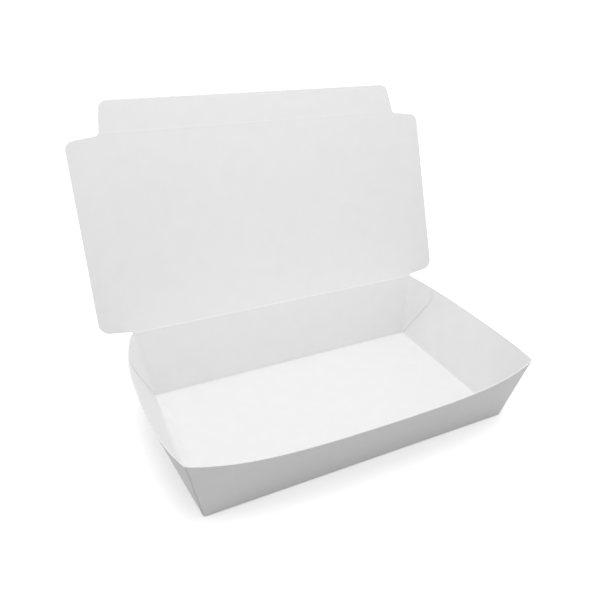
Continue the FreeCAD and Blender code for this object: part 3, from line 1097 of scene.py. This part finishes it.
# %% Make a plain mesh from a tree
def grow(name, tree, values, transform):
    """Run a Geometry Nodes tree and keep its result as a plain mesh, put in its place."""
    holder = bpy.data.objects.new(name + "_maker", bpy.data.meshes.new(name + "_maker"))
    bpy.context.collection.objects.link(holder)
    modifier = holder.modifiers.new("grow", "NODES")
    modifier.node_group = tree
    for item in tree.interface.items_tree:
        if item.in_out == "INPUT" and item.name in values:
            modifier[item.identifier] = values[item.name]
    evaluated = holder.evaluated_get(bpy.context.evaluated_depsgraph_get())
    mesh = bpy.data.meshes.new_from_object(evaluated)
    bpy.data.objects.remove(holder)
    mesh.name = name
    mesh.transform(transform)
    mesh.polygons.foreach_set("use_smooth", [True] * len(mesh.polygons))
    mesh.set_sharp_from_angle(angle=radians(50))
    piece = bpy.data.objects.new(name, mesh)
    bpy.context.collection.objects.link(piece)
    print("%s: %d faces" % (name, len(mesh.polygons)))
    return piece


print("trees to grow:", crease_tree.name)

# %% [markdown]
# ## The four creases that move
# The hinge and the three flaps' creases get their strips. Each strip bends along its middle
# to the angle at which its fold stands.

# %% One crease strip
GROOVE = 0.06
STEPS_PER_MM = 1.5


def in_metres(matrix):
    """The same placement with its shift in metres."""
    moved = matrix.copy()
    moved.translation = mm(matrix.translation)
    return moved


def crease_strip(name, length, ridge, bend, transform, lift=0.0):
    """transform puts the strip's x along the crease, its y over it and its z to the inside."""
    strip = grow(name, crease_tree, {
        "Length": length / 1000, "Half Width": STRIP / 1000, "Thickness": BOARD / 1000,
        "Ridge": ridge / 1000, "Groove": GROOVE / 1000, "Lift": lift / 1000,
        "Lift End": BEAD_END, "Bend": bend, "Steps": int(length * STEPS_PER_MM),
        "Seed": float(len(name)), "Material": coated_board,
    }, in_metres(transform))
    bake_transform(strip)
    return strip


print("a strip is %.1f mm wide, its groove %.2f mm deep" % (2 * STRIP, GROOVE))

# %% The four creases that move
HINGE_RIDGE, FRONT_RIDGE, SIDE_RIDGE = 0.05, 0.03, 0.04
wall_place = Matrix.Translation(hinge) @ Matrix.Rotation(pi / 2 - BACK_LEAN, 4, "X")
crease_strip("hinge_crease", 2 * LID_BACK, HINGE_RIDGE, radians(-LID_TILT) + BACK_LEAN,
             wall_place, lift=bead(STRIP, 0))
crease_strip("front_flap_crease_strip", 2 * front_half, FRONT_RIDGE, 0.0, front_flap_place)
for side, word in ((-1, "left"), (1, "right")):
    crease, outwards = side_crease(side)
    middle = X * (side * LID_BACK) + crease * ((SIDE_FLAP_BACK_GAP + flap_last) / 2)
    axes = Matrix((crease * -side, outwards, Z)).transposed().to_4x4()
    flat_place = lid_place @ Matrix.Translation(middle) @ axes
    crease_strip(word + "_flap_crease_strip", flap_length, SIDE_RIDGE, SIDE_FLAP_SET, flat_place)

# %% [markdown]
# ## Ridges inside the folds of the tray
# The two long creases of the base are folded for good, and the crushed fibres fill the inside
# of the fold with a thin round ridge. From above it shows as a light line with a dark one
# behind it. It follows the fold's line, so a second tree sweeps a small circle along it and
# varies its radius a little. The end walls' folds are too soft to have one.

# %% A tree for a ridge
ridge_tree, values = new_tree("fold_ridge", (
    ("Start", "Vector", None),
    ("End", "Vector", None),
    ("Radius", "Float", 0.0003),
    ("Steps", "Int", 60),
    ("Seed", "Float", 0.0),
    ("Material", "Material", None),
))
line = add_node(ridge_tree, "GeometryNodeCurvePrimitiveLine", None, {
    "Start": values["Start"], "End": values["End"]})
stepped = add_node(ridge_tree, "GeometryNodeResampleCurve", None, {
    "Curve": line.outputs[0], "Count": values["Steps"]})
waver = add_node(ridge_tree, "ShaderNodeTexNoise", {"noise_dimensions": "4D"}, {
    "Vector": add_node(ridge_tree, "GeometryNodeInputPosition").outputs[0],
    "W": values["Seed"], "Scale": 300.0, "Detail": 1.0})
thick = add_node(ridge_tree, "ShaderNodeMapRange", None, {
    "Value": waver.outputs[0], "To Min": 0.85, "To Max": 1.15})
varied = add_node(ridge_tree, "GeometryNodeSetCurveRadius", None, {
    "Curve": stepped.outputs[0], "Radius": thick.outputs[0]})
ring = add_node(ridge_tree, "GeometryNodeCurvePrimitiveCircle", None, {
    "Resolution": 14, "Radius": values["Radius"]})
swept = add_node(ridge_tree, "GeometryNodeCurveToMesh", None, {
    "Curve": varied.outputs[0], "Profile Curve": ring.outputs[0], "Fill Caps": True})
real = add_node(ridge_tree, "GeometryNodeRealizeInstances", None, {"Geometry": swept.outputs[0]})
painted = add_node(ridge_tree, "GeometryNodeSetMaterial", None, {
    "Geometry": real.outputs[0], "Material": values["Material"]})
add_node(ridge_tree, "NodeGroupOutput", None, {"Geometry": painted.outputs[0]})
print("ridge tree: %d nodes" % len(ridge_tree.nodes))

# %% The two ridges
RIDGE_RADIUS = 0.26
RIDGE_SET_IN = BOARD + 0.4
RIDGE_HEIGHT = BOARD + 0.04
RIDGE_STEPS = 90
ridge_end = HALF_LENGTH - 0.6
for word, side in (("front", -1), ("back", 1)):
    set_in = side * (HALF_WIDTH - RIDGE_SET_IN)
    ends = [Vector((end, set_in, RIDGE_HEIGHT)) for end in (-ridge_end, ridge_end)]
    ridge = grow(word + "_base_ridge", ridge_tree, {
        "Start": mm(ends[0]), "End": mm(ends[1]), "Radius": RIDGE_RADIUS / 1000,
        "Steps": RIDGE_STEPS, "Seed": float(side), "Material": coated_board,
    }, Matrix.Identity(4))
    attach(ridge, "tray")

# %% [markdown]
# ## Floor
# A pale floor carries the box. To the camera it is a little brighter than it is for the light
# that bounces off it, so the ground looks white while the outsides of the walls, which get
# their light from it, stay grey as they do in the photograph. Light Path tells the two apart.
# The floor keeps the box's soft shadow.

# %% Floor
floor_mesh = bpy.data.meshes.new("floor")
FLOOR_HALF, FLOOR_HEIGHT = 30, -0.0002
floor_corners = [(x * FLOOR_HALF, y * FLOOR_HALF, FLOOR_HEIGHT)
                 for x, y in ((-1, -1), (1, -1), (1, 1), (-1, 1))]
floor_mesh.from_pydata(floor_corners, [], [(0, 1, 2, 3)])
floor = bpy.data.objects.new("floor", floor_mesh)
bpy.context.collection.objects.link(floor)
floor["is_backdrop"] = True
floor_material, tree = new_material("pale_matt_floor")
ray = add_node(tree, "ShaderNodeLightPath").outputs
seen = add_node(tree, "ShaderNodeMath", {"operation": "MAXIMUM"}, {
    0: ray["Is Camera Ray"], 1: ray["Is Glossy Ray"]})
for_light = add_node(tree, "ShaderNodeBsdfDiffuse", None, {"Color": linear("A4A4A4")})
for_eye = add_node(tree, "ShaderNodeBsdfDiffuse", None, {"Color": (1, 1, 1, 1)})
glow = add_node(tree, "ShaderNodeEmission", None, {"Color": (1, 1, 1, 1), "Strength": 0.3})
eye_sum = add_node(tree, "ShaderNodeAddShader", None, {0: for_eye.outputs[0], 1: glow.outputs[0]})
floor_mix = add_node(tree, "ShaderNodeMixShader", None, {
    "Fac": seen.outputs[0], 1: for_light.outputs[0], 2: eye_sum.outputs[0]})
add_node(tree, "ShaderNodeOutputMaterial", None, {"Surface": floor_mix.outputs[0]})
floor_mesh.materials.append(floor_material)
print("floor: %d nodes in its material" % len(tree.nodes))

# %% [markdown]
# ## Light
# White board on a white ground shows its shape only by small steps of grey, so the light has
# to be soft and nearly even, with a little more from above and from the front. A white sky
# gives most of it. A small soft lamp hangs overhead, a wide one stands in front and a weak
# one to the right. All stay at a level at which a white renders about as it is written.

# %% World
world = bpy.data.worlds.new("studio")
bpy.context.scene.world = world
world.use_nodes = True
tree = world.node_tree
tree.nodes.clear()
ray = add_node(tree, "ShaderNodeLightPath").outputs
sky = add_node(tree, "ShaderNodeBackground", None, {"Color": (1, 1, 1, 1), "Strength": 0.768})
white = add_node(tree, "ShaderNodeBackground", None, {"Color": (1, 1, 1, 1), "Strength": 1.0})
world_mix = add_node(tree, "ShaderNodeMixShader", None, {
    "Fac": ray["Is Camera Ray"], 1: sky.outputs[0], 2: white.outputs[0]})
add_node(tree, "ShaderNodeOutputWorld", None, {"Surface": world_mix.outputs[0]})
print("sky: strength %.2f" % sky.inputs["Strength"].default_value)

# %% Lamps
def soft_lamp(name, place, target, width, watts):
    """A square lamp that shines from its place at a target."""
    data = bpy.data.lights.new(name, "AREA")
    data.shape = "SQUARE"
    data.size = width
    data.energy = watts
    lamp = bpy.data.objects.new(name, data)
    lamp.location = place
    lamp.rotation_euler = (Vector(target) - Vector(place)).to_track_quat("-Z", "Y").to_euler()
    bpy.context.collection.objects.link(lamp)


soft_lamp("overhead_lamp", (0, 0, 0.55), (0, 0.05, 0.08), width=0.4, watts=1.24)
soft_lamp("right_lamp", (1.3, -0.6, 0.9), (0, 0, 0.05), width=0.9, watts=0.5)
soft_lamp("front_lamp", (0.2, -1.6, 0.35), (0, 0, 0.05), width=0.8, watts=1.75)
print("lamps:", [lamp.name for lamp in bpy.data.lights])

# %% [markdown]
# ## Last checks
# The colours are shown as they are, without a film look. The size of the finished box is
# written down next to that of the solids, because dressing it mustn't change its size.

# %% Settings and last checks
bpy.context.scene.view_settings.view_transform = "Standard"
visual_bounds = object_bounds()
for name, box in (("solids", cad_bounds), ("finished box", visual_bounds)):
    print(name, [[round(value, 4) for value in corner] for corner in box])
